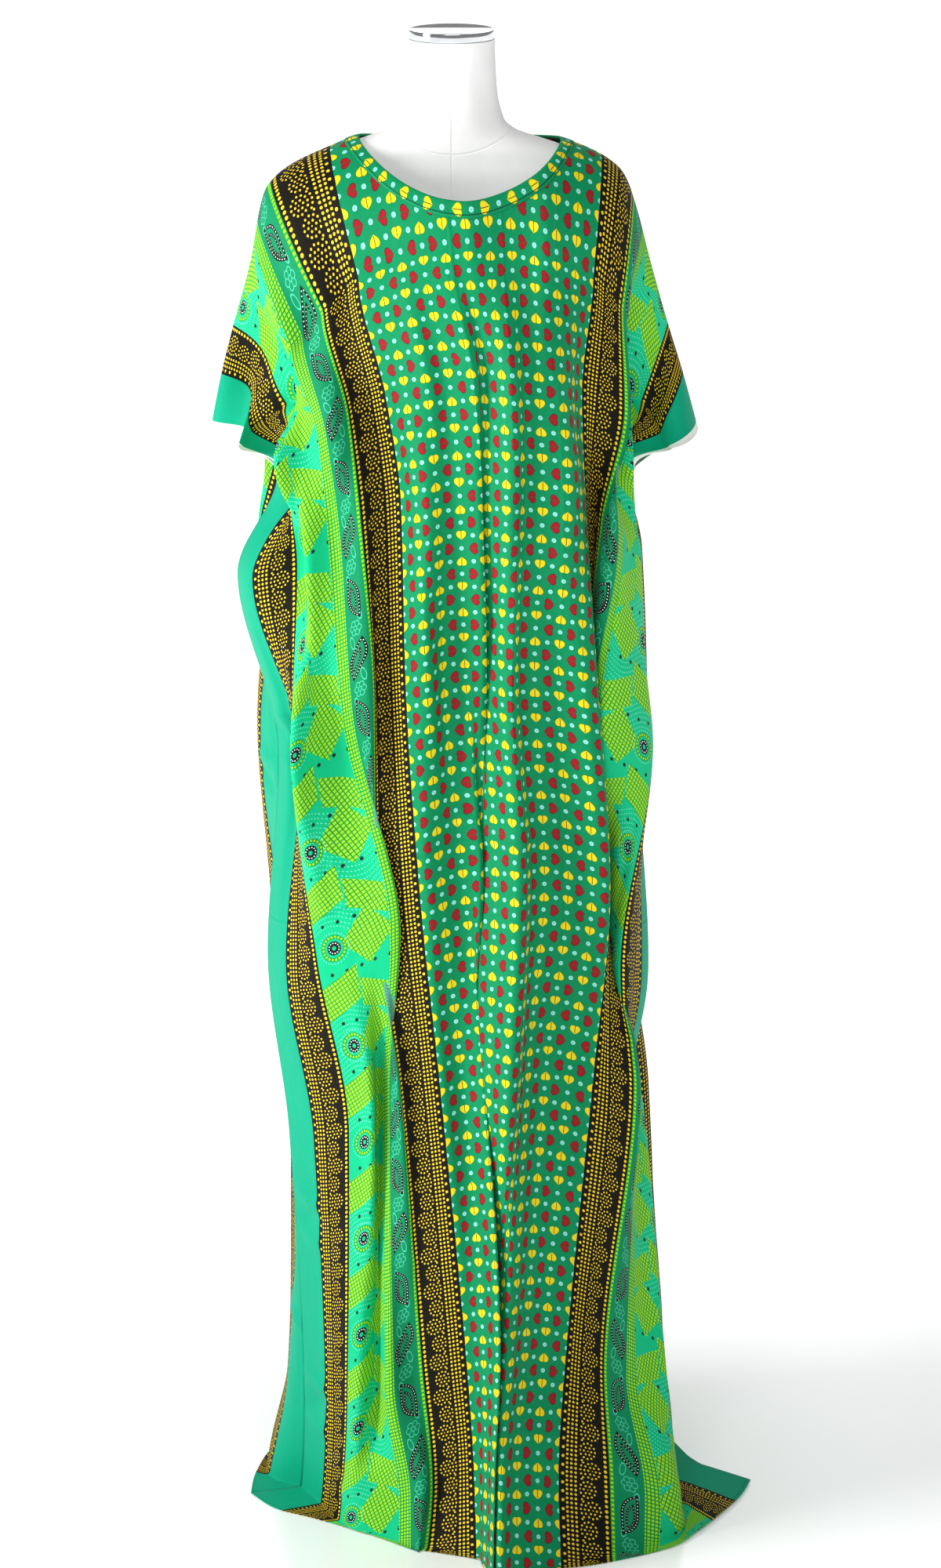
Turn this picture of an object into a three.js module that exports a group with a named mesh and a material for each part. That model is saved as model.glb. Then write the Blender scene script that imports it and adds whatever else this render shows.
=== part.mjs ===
// A bati dress on a limbless dress form with a round stand. Lengths are in millimetres, +Z is up.
// The wearer's front faces -Y, and the viewer's right is +X. The origin is under the base's middle.
// The dress is one length of printed cotton folded over the shoulders. A place on the cloth is told by
// "across", the way from its middle line, and "down", the way from the shoulder fold.
import * as THREE from "three";

// Cut of the cloth
const HALF_WIDTH = 462;
const HEARTS_HALF = 148;
const LENGTH = 1660;
const ARMHOLE = 280;
const CHEST_DOWN = 140;
const WALL = 1.6;
const JOIN_GAP = 0.3;
const TILT_ROOM = 0.15;
const NECK_MIDDLE = -9;
const NECK_HALF = 112;
const NECK_FRONT = 104;
const NECK_BACK = 62;
const BINDING_WIDTH = 13;
const BINDING_LAP = 1.5;
const BINDING_WALL = 1.1;
const BINDING_GAP = 1.0;
const BINDING_STEPS = 64;

// Heights of the hanging cloth
const NECK_LOW_HEIGHT = 1526;
const HANG = 0.9815;
const UNDERARM_HEIGHT = 1220;
const SLEEVE_TIP_HEIGHT = 1269;
const SIDE_DROP_POWER = 1.15;
const CUFF_SAG_POWER = { front: 3, back: 0.7 };
const FLOOR_LIFT = 0.9;
const OVERLAP_LIFT = 2.6;
const OVERLAP_START = 240;
const OVERLAP_REACH = 90;
const FLOOR_SOFTNESS = 7;

// Grid of the two panels
const COLUMNS_SIDE = 20;
const COLUMNS_NECK = 16;
const ROWS_DOWN = [0, 20, 46, 76, 108, 140, 185, 230, 280, 340, 400, 480, 560, 640, 740, 850,
  960, 1070, 1180, 1290, 1400, 1470, 1540, 1600, 1660];
const NECK_FADE = 350;

// Shoulder fold, a row for each place from one sleeve end to the other: across, right, height.
const SHOULDER_FOLD = [
  [-462, -262, 1269],
  [-406, -250, 1328],
  [-350, -236, 1382],
  [-280, -217, 1450],
  [-215, -201, 1526],
  [-190, -180, 1550],
  [-148, -130, 1575],
  [-121, -101, 1586],
  [0, 17, 1604],
  [103, 118, 1583],
  [148, 160, 1566],
  [178, 184, 1546],
  [215, 197, 1513],
  [280, 214, 1450],
  [350, 233, 1384],
  [406, 250, 1330],
  [462, 267, 1269],
];

// Fold lines of the hanging cloth, a row for each one, a pair for each section: right, front.
const SECTIONS = [140, 280, 400, 600, 850, 1060, 1400, 1540, 1660];
const FRONT_FOLDS = {
  seamL: [[-228, 84], [-190, 8], [-236, -4], [-192, 16], [-208, 0],
    [-186, 8], [-172, -2], [-178, -14], [-236, 2]],
  edgeL: [[-212, 30], [-180, 28], [-216, 46], [-180, 44], [-190, 52],
    [-150, 64], [-136, 70], [-152, 40], [-206, 50]],
  insideL: [[-160, 44], [-158, 52], [-158, 62], [-166, 56], [-168, 82],
    [-104, 98], [-120, 98], [-132, 80], [-161, 77]],
  crestL: [[-174, 92], [-190, 96], [-158, 108], [-174, 122], [-143, 108],
    [-88, 112], [-106, 114], [-108, 112], [-112, 112]],
  hollowL: [[-152, 88], [-156, 96], [-128, 102], [-132, 98], [-94, 128],
    [-84, 72], [-86, 90], [-62, 132], [-84, 130]],
  leafL: [[-132, 104], [-126, 124], [-100, 132], [-90, 130], [-56, 138],
    [-60, 128], [-72, 136], [-34, 150], [-38, 172]],
  deepL: [[-112, 100], [-98, 112], [-78, 116], [-78, 110], [-86, 102],
    [-54, 112], [-42, 122], [-20, 132], [-42, 152]],
  heartsL: [[-98, 112], [-70, 130], [-54, 128], [-50, 130], [-35, 130],
    [-15, 134], [15, 140], [24, 154], [27, 176]],
  swellL: [[-66, 118], [-28, 149], [-28, 154], [-26, 142], [-24, 134],
    [-2, 130], [25, 142], [31, 160], [32, 184]],
  dipL: [[-38, 124], [-8, 147], [-2, 148], [-4, 122], [6, 121],
    [12, 129], [38, 153], [39, 176], [38, 200]],
  pleatL: [[-8, 129], [28, 158], [34, 160], [37, 136], [34, 130],
    [36, 138], [54, 166], [48, 198], [46, 220]],
  tuckL: [[6, 129], [30, 150], [31, 150], [31, 122], [22, 116],
    [14, 120], [36, 118], [34, 140], [35, 166]],
  ridge: [[24, 130], [65, 168], [66, 174], [66, 156], [73, 154],
    [65, 160], [58, 162], [51, 195], [50, 222]],
  trough: [[60, 122], [76, 156], [78, 158], [74, 142], [88, 130],
    [80, 136], [76, 147], [68, 184], [67, 214]],
  lowR: [[82, 120], [98, 158], [96, 162], [106, 137], [112, 122],
    [100, 120], [94, 136], [86, 176], [86, 210]],
  swellR: [[106, 120], [122, 148], [130, 158], [142, 142], [148, 126],
    [130, 116], [112, 130], [104, 170], [104, 204]],
  heartsR: [[150, 100], [138, 120], [143, 122], [157, 126], [173, 120],
    [157, 118], [128, 126], [119, 164], [122, 200]],
  deepR: [[176, 88], [176, 100], [150, 98], [146, 74], [156, 26],
    [182, 106], [172, 110], [166, 156], [168, 198]],
  crestR: [[187, 78], [190, 92], [172, 120], [164, 126], [184, 104],
    [209, 94], [230, 80], [250, 138], [247, 158]],
  tuckR: [[164, 66], [142, 66], [190, 84], [216, 82], [206, 72],
    [196, 52], [246, 62], [262, 100], [280, 118]],
  insideR: [[178, 56], [196, 58], [204, 48], [214, 40], [218, 42],
    [216, 18], [242, 28], [262, 56], [306, 75]],
  edgeR: [[214, 44], [152, 30], [152, 24], [196, 20], [217, 26],
    [190, -20], [250, -4], [264, 0], [333, 20]],
  seamR: [[236, 82], [198, 0], [192, -10], [208, -22], [212, 14],
    [206, -64], [246, -40], [264, -88], [348, -28]],
};
const BACK_FOLDS = {
  seamL: [[-224, -66], [-190, 8], [-236, -4], [-192, 16], [-208, 0],
    [-186, 8], [-172, -2], [-178, -14], [-236, 2]],
  edgeL: [[-208, -26], [-160, -26], [-186, -22], [-206, -12], [-188, -28],
    [-176, -34], [-192, -36], [-216, -40], [-232, -60]],
  crestL: [[-170, -40], [-204, -60], [-216, -66], [-216, -54], [-206, -80],
    [-188, -96], [-188, -112], [-212, -118], [-212, -136]],
  deepL: [[-176, -68], [-148, -72], [-150, -84], [-152, -80], [-152, -92],
    [-150, -104], [-150, -122], [-156, -136], [-166, -146]],
  rollL: [[-140, -80], [-150, -112], [-160, -132], [-164, -140], [-164, -156],
    [-160, -174], [-158, -198], [-162, -214], [-166, -222]],
  heartsL: [[-112, -88], [-108, -104], [-112, -112], [-114, -124], [-114, -136],
    [-114, -150], [-112, -172], [-112, -184], [-112, -190]],
  ridgeL: [[-56, -96], [-64, -120], [-66, -140], [-68, -160], [-68, -176],
    [-68, -194], [-66, -214], [-66, -226], [-66, -232]],
  trough: [[10, -92], [4, -96], [0, -104], [-4, -132], [-6, -136],
    [-8, -138], [-8, -140], [-8, -142], [-8, -146]],
  ridgeR: [[70, -96], [70, -120], [66, -140], [62, -162], [62, -178],
    [62, -196], [62, -218], [62, -228], [62, -236]],
  heartsR: [[132, -86], [122, -102], [116, -112], [114, -124], [114, -138],
    [114, -152], [116, -176], [118, -188], [118, -196]],
  rollR: [[150, -78], [160, -108], [164, -130], [166, -142], [168, -146],
    [172, -174], [176, -200], [178, -216], [184, -226]],
  deepR: [[180, -66], [152, -68], [154, -78], [158, -82], [168, -92],
    [164, -110], [174, -128], [182, -142], [204, -148]],
  crestR: [[174, -40], [206, -56], [210, -66], [218, -78], [214, -80],
    [226, -118], [244, -142], [250, -150], [252, -64]],
  edgeR: [[212, -26], [168, -24], [186, -24], [194, -36], [200, -30],
    [202, -90], [236, -92], [262, -118], [302, -22]],
  seamR: [[236, -62], [198, 0], [192, -10], [208, -22], [212, 14],
    [206, -64], [246, -40], [264, -88], [348, -28]],
};
const DEPTH_TRIES = 14;
const DEPTH_LEAST = 0.7;
const DEPTH_MOST = 1.45;
const NEED_STEPS = 24;
const LEAST_SHARE = 0.2;
const EDGE_REACH = 40;
const CUFF_TUCK_START = 260;
const CUFF_TUCK_IN = 30;
const CUFF_TUCK_BACK = 26;
const CURVE_STEPS = 14;
const NORMAL_REACH = 4;

// Dress form, a row for each section of the body: height, half width, front, back, middle.
const BODY_SECTIONS = [
  [835, 158, 100, 110],
  [900, 164, 104, 118],
  [990, 156, 102, 108],
  [1110, 122, 88, 76],
  [1200, 136, 102, 80],
  [1300, 154, 120, 84],
  [1380, 168, 106, 86],
  [1450, 180, 84, 82],
  [1500, 184, 68, 72],
  [1535.4, 178, 56, 62],
  [1554.4, 164, 51, 57],
  [1566.4, 142, 48, 54],
  [1575.9, 118, 47, 52],
  [1584.4, 92, 46, 49],
  [1592, 70, 46, 48],
  [1604, 56, 46, 47],
  [1640, 48, 46, 46],
  [1690, 46, 45, 45],
];
const BODY_STEPS = 36;
const BODY_ROUNDNESS = 2.3;
const CAP_RADIUS = 45.5;
const CAP_BOTTOM = 1690.3;
const CAP_TOP = 1700;
const CAP_EDGE = 1;
const POLE_RADIUS = 12.5;
const POLE_TOP = 834.7;
const BASE_RADIUS = 125;
const BASE_HEIGHT = 12;
const BASE_EDGE = 2;
const TURN_STEPS = 40;

const COTTON_GREEN = 0x12a070;
const BINDING_GREEN = 0x0f9068;
const COVER_WHITE = 0xf0efec;
const CHROME_GREY = 0xc8cacc;
const STEEL_GREY = 0x9a9c9e;

function catmull(before, from, to, after, part) {
  const square = part * part;
  const cube = square * part;
  return 0.5 * (2 * from + (to - before) * part + (2 * before - 5 * from + 4 * to - after) * square
    + (3 * from - before - 3 * to + after) * cube);
}

function smoothAt(places, values, place, stiff = 0) {
  // Cubic through a column of values, level at turning points. A stiff one is also level at the second.
  const last = places.length - 1;
  if (place <= places[0]) return values[0];
  if (place >= places[last]) return values[last];
  let lower = 0;
  while (places[lower + 1] < place) lower += 1;
  const slope = (index) => {
    if (index === 0 || index === last) return 0;
    const left = (values[index] - values[index - 1]) / (places[index] - places[index - 1]);
    const right = (values[index + 1] - values[index]) / (places[index + 1] - places[index]);
    const kept = index === 1 ? 1 - stiff : 1;
    return left * right <= 0 ? 0 : kept * 2 * left * right / (left + right);
  };
  const span = places[lower + 1] - places[lower];
  const part = (place - places[lower]) / span;
  const rise = part * part * (3 - 2 * part);
  const leaving = part * (1 - part) * (1 - part);
  const arriving = part * part * (part - 1);
  return values[lower] + (values[lower + 1] - values[lower]) * rise
    + span * (leaving * slope(lower) + arriving * slope(lower + 1));
}

function sideDrop(across) {
  const part = Math.min(1, Math.abs(across) / HALF_WIDTH);
  return Math.sin(0.5 * Math.PI * part ** SIDE_DROP_POWER) ** 2;
}

function heightAt(side, across, down) {
  const middle = NECK_LOW_HEIGHT - HANG * (down - NECK_FRONT);
  const sag = (down / ARMHOLE) ** CUFF_SAG_POWER[side];
  const cuffSag = SLEEVE_TIP_HEIGHT + (UNDERARM_HEIGHT - SLEEVE_TIP_HEIGHT) * sag;
  const edge = down < ARMHOLE ? cuffSag : UNDERARM_HEIGHT - HANG * (down - ARMHOLE);
  const hanging = middle + (edge - middle) * sideDrop(across);
  const over = side === "front" ? Math.min(1, Math.max(0, (across - OVERLAP_START) / OVERLAP_REACH)) : 0;
  const lift = FLOOR_LIFT + OVERLAP_LIFT * over;
  return lift + 0.5 * (hanging - lift * over + Math.hypot(hanging - lift * over, FLOOR_SOFTNESS));
}

function curveStep(points, index, part) {
  const before = points[Math.max(0, index - 1)];
  const from = points[index];
  const to = points[index + 1];
  const after = points[Math.min(points.length - 1, index + 2)];
  return [0, 1].map((axis) => catmull(before[axis], from[axis], to[axis], after[axis], part));
}

function planCurve(points, first, last) {
  // Closely spaced places along the smooth curve through all fold lines, from one of them to another.
  const places = [];
  for (let index = first; index < last; index += 1) {
    for (let step = 0; step < CURVE_STEPS; step += 1) {
      places.push(curveStep(points, index, step / CURVE_STEPS));
    }
  }
  places.push(points[last]);
  return places;
}

function curveLengths(places) {
  const lengths = [0];
  for (let index = 1; index < places.length; index += 1) {
    const [x, y] = places[index];
    lengths.push(lengths[index - 1] + Math.hypot(x - places[index - 1][0], y - places[index - 1][1]));
  }
  return lengths;
}

function planNeed(side, from, to, down) {
  // How long the curve must be in plan, so that with its rise and fall it takes up the cloth it has.
  let need = 0;
  for (let step = 0; step < NEED_STEPS; step += 1) {
    const start = from + (to - from) * step / NEED_STEPS;
    const end = from + (to - from) * (step + 1) / NEED_STEPS;
    const fall = heightAt(side, end, down) - heightAt(side, start, down);
    need += Math.sqrt(Math.max(LEAST_SHARE * (end - start) ** 2, (end - start) ** 2 - fall * fall));
  }
  return need;
}

function deepened(points, first, last, depth) {
  // The fold lines between two others, moved in or out from the straight way between them.
  const moved = points.slice();
  for (let index = first + 1; index < last; index += 1) {
    const part = (index - first) / (last - first);
    const straight = points[first][1] + (points[last][1] - points[first][1]) * part;
    moved[index] = [points[index][0], straight + (points[index][1] - straight) * depth];
  }
  return moved;
}

function fittedPoints(points, first, last, need) {
  // The folds are made deeper or shallower until the curve takes up the cloth it has.
  let least = DEPTH_LEAST;
  let most = DEPTH_MOST;
  for (let attempt = 0; attempt < DEPTH_TRIES; attempt += 1) {
    const depth = 0.5 * (least + most);
    const lengths = curveLengths(planCurve(deepened(points, first, last, depth), first, last));
    if (lengths[lengths.length - 1] < need) least = depth;
    else most = depth;
  }
  return deepened(points, first, last, 0.5 * (least + most));
}

function sectionCurve(side, folds, index) {
  const down = SECTIONS[index];
  const names = Object.keys(folds);
  const stops = [0, names.indexOf("heartsL"), names.indexOf("heartsR"), names.length - 1];
  const cuts = [-HALF_WIDTH, -HEARTS_HALF, HEARTS_HALF, HALF_WIDTH];
  let points = names.map((name) => [folds[name][index][0], -folds[name][index][1]]);
  for (let zone = 0; zone < 3; zone += 1) {
    const need = planNeed(side, cuts[zone], cuts[zone + 1], down);
    points = fittedPoints(points, stops[zone], stops[zone + 1], need);
  }
  return [0, 1, 2].map((zone) => {
    const places = planCurve(points, stops[zone], stops[zone + 1]);
    return { places, lengths: curveLengths(places), from: cuts[zone], to: cuts[zone + 1] };
  });
}

function alongCurve(curve, across) {
  const { places, lengths, from, to } = curve;
  const wanted = (across - from) / (to - from) * lengths[lengths.length - 1];
  let lower = 0;
  while (lower < lengths.length - 2 && lengths[lower + 1] < wanted) lower += 1;
  const part = (wanted - lengths[lower]) / (lengths[lower + 1] - lengths[lower]);
  return [0, 1].map((axis) => places[lower][axis] + (places[lower + 1][axis] - places[lower][axis]) * part);
}

function shoulderAt(across) {
  const places = SHOULDER_FOLD.map((row) => row[0]);
  return [smoothAt(places, SHOULDER_FOLD.map((row) => row[1]), across),
    smoothAt(places, SHOULDER_FOLD.map((row) => row[2]), across)];
}

function columnAt(curves, across) {
  const zone = across < -HEARTS_HALF ? 0 : across <= HEARTS_HALF ? 1 : 2;
  return curves.map((parts) => alongCurve(parts[zone], across));
}

function cuffTuck(across, down) {
  // The left sleeve's front layer is pressed in beside its fold, most at the sleeve's end.
  const out = Math.min(1, Math.max(0, (-across - CUFF_TUCK_START) / (HALF_WIDTH - CUFF_TUCK_START)));
  return out * Math.sin(Math.PI * down / CHEST_DOWN) ** 2;
}

function edgeShare(across) {
  return Math.min(1, Math.max(0, (Math.abs(across) - HALF_WIDTH + EDGE_REACH) / EDGE_REACH));
}

function clothPlace(side, column, across, down) {
  const [foldX, foldZ] = shoulderAt(across);
  if (down >= CHEST_DOWN) {
    const stiff = edgeShare(across);
    return new THREE.Vector3(smoothAt(SECTIONS, column.map((place) => place[0]), down, stiff),
      smoothAt(SECTIONS, column.map((place) => place[1]), down, stiff), heightAt(side, across, down));
  }
  const turn = 0.5 * Math.PI * down / CHEST_DOWN;
  const fallen = 1 - Math.cos(turn);
  const chestZ = heightAt(side, across, CHEST_DOWN);
  const tuck = side === "front" ? cuffTuck(across, down) : 0;
  return new THREE.Vector3(foldX + (column[0][0] - foldX) * fallen + CUFF_TUCK_IN * tuck,
    column[0][1] * Math.sin(turn) + CUFF_TUCK_BACK * tuck, foldZ + (chestZ - foldZ) * fallen);
}

const sheets = {
  front: SECTIONS.map((down, index) => sectionCurve("front", FRONT_FOLDS, index)),
  back: SECTIONS.map((down, index) => sectionCurve("back", BACK_FOLDS, index)),
};

function shiftedPlace(side, across, down) {
  // Front and back stand apart where they are joined, so that the two walls keep clear of each other.
  const place = clothPlace(side, columnAt(sheets[side], across), across, down);
  const apart = 0.5 * JOIN_GAP + TILT_ROOM + 0.5 * WALL * edgeShare(across);
  place.y += side === "front" ? -apart : apart;
  return place;
}

function outwardAt(side, across, down) {
  const reach = NORMAL_REACH;
  const left = shiftedPlace(side, Math.max(-HALF_WIDTH, across - reach), down);
  const right = shiftedPlace(side, Math.min(HALF_WIDTH, across + reach), down);
  const above = shiftedPlace(side, across, Math.max(0, down - reach));
  const below = shiftedPlace(side, across, Math.min(LENGTH, down + reach));
  const normal = right.sub(left).cross(above.sub(below)).normalize();
  return side === "front" ? normal : normal.negate();
}

function acrossColumns() {
  const columns = [];
  const neckLeft = NECK_MIDDLE - NECK_HALF;
  const neckRight = NECK_MIDDLE + NECK_HALF;
  for (let step = 0; step < COLUMNS_SIDE; step += 1) {
    columns.push(-HALF_WIDTH + (neckLeft + HALF_WIDTH) * step / COLUMNS_SIDE);
  }
  for (let step = 0; step < COLUMNS_NECK; step += 1) {
    columns.push(NECK_MIDDLE - NECK_HALF * Math.cos(Math.PI * step / COLUMNS_NECK));
  }
  for (let step = 0; step <= COLUMNS_SIDE; step += 1) {
    columns.push(neckRight + (HALF_WIDTH - neckRight) * step / COLUMNS_SIDE);
  }
  return columns;
}

function neckDepth(side, across) {
  const part = Math.min(1, Math.abs(across - NECK_MIDDLE) / NECK_HALF);
  return (side === "front" ? NECK_FRONT : NECK_BACK) * Math.sqrt(1 - part * part);
}

function closedSheet(rows) {
  // A wall from rows of paired places, outer and inner, with its four edges closed.
  const positions = [];
  const indices = [];
  const high = rows.length;
  const wide = rows[0].length;
  for (const layer of [0, 1]) {
    for (const row of rows) {
      for (const pair of row) positions.push(...pair[layer].toArray());
    }
  }
  const at = (layer, row, column) => layer * high * wide + row * wide + column;
  const quad = (a, b, c, d) => indices.push(a, b, c, a, c, d);
  for (let row = 0; row < high - 1; row += 1) {
    for (let column = 0; column < wide - 1; column += 1) {
      quad(at(0, row, column), at(0, row + 1, column), at(0, row + 1, column + 1), at(0, row, column + 1));
      quad(at(1, row, column), at(1, row, column + 1), at(1, row + 1, column + 1), at(1, row + 1, column));
    }
  }
  for (let row = 0; row < high - 1; row += 1) {
    quad(at(0, row, 0), at(1, row, 0), at(1, row + 1, 0), at(0, row + 1, 0));
    quad(at(0, row + 1, wide - 1), at(1, row + 1, wide - 1), at(1, row, wide - 1), at(0, row, wide - 1));
  }
  for (let column = 0; column < wide - 1; column += 1) {
    quad(at(0, 0, column + 1), at(1, 0, column + 1), at(1, 0, column), at(0, 0, column));
    const low = high - 1;
    quad(at(0, low, column), at(1, low, column), at(1, low, column + 1), at(0, low, column + 1));
  }
  const geometry = new THREE.BufferGeometry();
  geometry.setAttribute("position", new THREE.Float32BufferAttribute(positions, 3));
  geometry.setIndex(indices);
  return geometry;
}

function wallPair(side, across, down, wall, lift) {
  const middle = shiftedPlace(side, across, down);
  const outward = outwardAt(side, across, down);
  return [0.5 * wall, -0.5 * wall].map((half) => middle.clone().addScaledVector(outward, lift + half));
}

function panelGeometry(side) {
  const columns = acrossColumns();
  if (side === "back") columns.reverse();
  const rows = ROWS_DOWN.map((level) => columns.map((across) => {
    const fade = Math.max(0, 1 - level / NECK_FADE);
    return wallPair(side, across, level + neckDepth(side, across) * fade * fade, WALL, 0);
  }));
  return closedSheet(rows);
}

function bindingGeometry() {
  // A strip round the neck, laid on the panels, with its inner edge lapping over the cut edge of the cloth.
  const lift = 0.5 * WALL + BINDING_GAP + 0.5 * BINDING_WALL;
  const rings = [];
  for (let step = 0; step < BINDING_STEPS; step += 1) {
    const turn = 2 * Math.PI * (step + 0.5) / BINDING_STEPS;
    const side = Math.sin(turn) > 0 ? "front" : "back";
    const depth = side === "front" ? NECK_FRONT : NECK_BACK;
    const ring = [-BINDING_LAP, 0.5 * (BINDING_WIDTH - BINDING_LAP), BINDING_WIDTH].map((out) => {
      const across = NECK_MIDDLE + (NECK_HALF + out) * Math.cos(turn);
      const down = (depth + out) * Math.abs(Math.sin(turn));
      return wallPair(side, across, down, BINDING_WALL, lift);
    });
    rings.push(ring);
  }
  const positions = [];
  const indices = [];
  const around = [[0, 0], [1, 0], [2, 0], [2, 1], [1, 1], [0, 1]];
  for (const ring of rings) {
    for (const [place, layer] of around) positions.push(...ring[place][layer].toArray());
  }
  for (let step = 0; step < BINDING_STEPS; step += 1) {
    const next = (step + 1) % BINDING_STEPS;
    for (let corner = 0; corner < around.length; corner += 1) {
      const onward = (corner + 1) % around.length;
      const a = step * around.length + corner;
      const b = step * around.length + onward;
      const c = next * around.length + onward;
      const d = next * around.length + corner;
      indices.push(a, c, b, a, d, c);
    }
  }
  const geometry = new THREE.BufferGeometry();
  geometry.setAttribute("position", new THREE.Float32BufferAttribute(positions, 3));
  geometry.setIndex(indices);
  return geometry;
}

function bodyGeometry() {
  const positions = [];
  const indices = [];
  for (const [height, half, front, back] of BODY_SECTIONS) {
    for (let step = 0; step < BODY_STEPS; step += 1) {
      const turn = 2 * Math.PI * step / BODY_STEPS;
      const power = 2 / BODY_ROUNDNESS;
      const roundX = Math.sign(Math.cos(turn)) * Math.abs(Math.cos(turn)) ** power;
      const roundY = Math.sign(Math.sin(turn)) * Math.abs(Math.sin(turn)) ** power;
      positions.push(half * roundX, (roundY < 0 ? front : back) * roundY, height);
    }
  }
  const rings = BODY_SECTIONS.length;
  for (let ring = 0; ring < rings - 1; ring += 1) {
    for (let step = 0; step < BODY_STEPS; step += 1) {
      const next = (step + 1) % BODY_STEPS;
      const a = ring * BODY_STEPS + step;
      const b = ring * BODY_STEPS + next;
      indices.push(a, b, b + BODY_STEPS, a, b + BODY_STEPS, a + BODY_STEPS);
    }
  }
  const bottom = positions.length / 3;
  positions.push(0, 0, BODY_SECTIONS[0][0], 0, 0, BODY_SECTIONS[rings - 1][0]);
  for (let step = 0; step < BODY_STEPS; step += 1) {
    const next = (step + 1) % BODY_STEPS;
    indices.push(bottom, next, step);
    indices.push(bottom + 1, (rings - 1) * BODY_STEPS + step, (rings - 1) * BODY_STEPS + next);
  }
  const geometry = new THREE.BufferGeometry();
  geometry.setAttribute("position", new THREE.Float32BufferAttribute(positions, 3));
  geometry.setIndex(indices);
  return geometry;
}

function turnedGeometry(profile) {
  const points = profile.map(([radius, height]) => new THREE.Vector2(radius, height));
  const geometry = new THREE.LatheGeometry(points, TURN_STEPS);
  geometry.rotateX(0.5 * Math.PI);
  return geometry;
}

function capGeometry() {
  const flat = CAP_RADIUS - CAP_EDGE;
  return turnedGeometry([[0, CAP_BOTTOM], [flat, CAP_BOTTOM], [CAP_RADIUS, CAP_BOTTOM + CAP_EDGE],
    [CAP_RADIUS, CAP_TOP - CAP_EDGE], [flat, CAP_TOP], [0, CAP_TOP]]);
}

function poleGeometry() {
  const bottom = BASE_HEIGHT + JOIN_GAP;
  return turnedGeometry([[0, bottom], [POLE_RADIUS, bottom], [POLE_RADIUS, POLE_TOP], [0, POLE_TOP]]);
}

function baseGeometry() {
  return turnedGeometry([[0, 0], [BASE_RADIUS, 0], [BASE_RADIUS, BASE_HEIGHT - BASE_EDGE],
    [BASE_RADIUS - BASE_EDGE, BASE_HEIGHT], [0, BASE_HEIGHT]]);
}

function piece(name, geometry, color, metalness, roughness) {
  const material = new THREE.MeshStandardMaterial({ color, metalness, roughness });
  material.name = name;
  const mesh = new THREE.Mesh(geometry, material);
  mesh.name = name;
  return mesh;
}

const dress = new THREE.Group();
dress.name = "bati_dress_on_form";
dress.add(piece("dress_front", panelGeometry("front"), COTTON_GREEN, 0, 0.8));
dress.add(piece("dress_back", panelGeometry("back"), COTTON_GREEN, 0, 0.8));
dress.add(piece("neck_binding", bindingGeometry(), BINDING_GREEN, 0, 0.8));
dress.add(piece("form_body", bodyGeometry(), COVER_WHITE, 0, 0.9));
dress.add(piece("neck_cap", capGeometry(), CHROME_GREY, 1, 0.1));
dress.add(piece("stand_pole", poleGeometry(), STEEL_GREY, 1, 0.3));
dress.add(piece("stand_base", baseGeometry(), STEEL_GREY, 1, 0.4));

export default dress;
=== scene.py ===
import bpy
import math
import numpy as np
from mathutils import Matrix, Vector


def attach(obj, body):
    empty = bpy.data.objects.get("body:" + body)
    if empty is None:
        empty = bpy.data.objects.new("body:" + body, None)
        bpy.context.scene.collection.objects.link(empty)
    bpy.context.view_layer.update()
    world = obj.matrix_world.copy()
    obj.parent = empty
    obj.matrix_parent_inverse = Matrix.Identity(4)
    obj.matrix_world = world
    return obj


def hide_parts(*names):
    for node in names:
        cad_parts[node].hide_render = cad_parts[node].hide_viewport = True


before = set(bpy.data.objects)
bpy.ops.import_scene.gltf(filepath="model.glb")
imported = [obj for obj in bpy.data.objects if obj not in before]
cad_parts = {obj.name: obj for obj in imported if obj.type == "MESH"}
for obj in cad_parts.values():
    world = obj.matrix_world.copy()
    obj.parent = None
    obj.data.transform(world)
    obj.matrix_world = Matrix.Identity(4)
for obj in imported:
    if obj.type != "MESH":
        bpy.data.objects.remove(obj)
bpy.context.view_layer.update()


# The stand is a round steel plate, painted white, with a steel tube screwed into its middle.
# The dress hides both, so they keep the solids' shape and get their finish alone.
def ink(red, green, blue):
    """A colour as the eye reads it, 0 to 255, turned into the amounts of light that a shader takes."""
    levels = (red, green, blue)
    return [((level / 255 + 0.055) / 1.055) ** 2.4 if level > 10 else level / 3295 for level in levels] + [1]


def new_finish(name, colour, roughness, metallic=0.0):
    finish = bpy.data.materials.new(name)
    finish.use_nodes = True
    shader = finish.node_tree.nodes["Principled BSDF"]
    shader.inputs["Base Color"].default_value = colour
    shader.inputs["Roughness"].default_value = roughness
    shader.inputs["Metallic"].default_value = metallic
    return finish, finish.node_tree, shader


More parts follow.
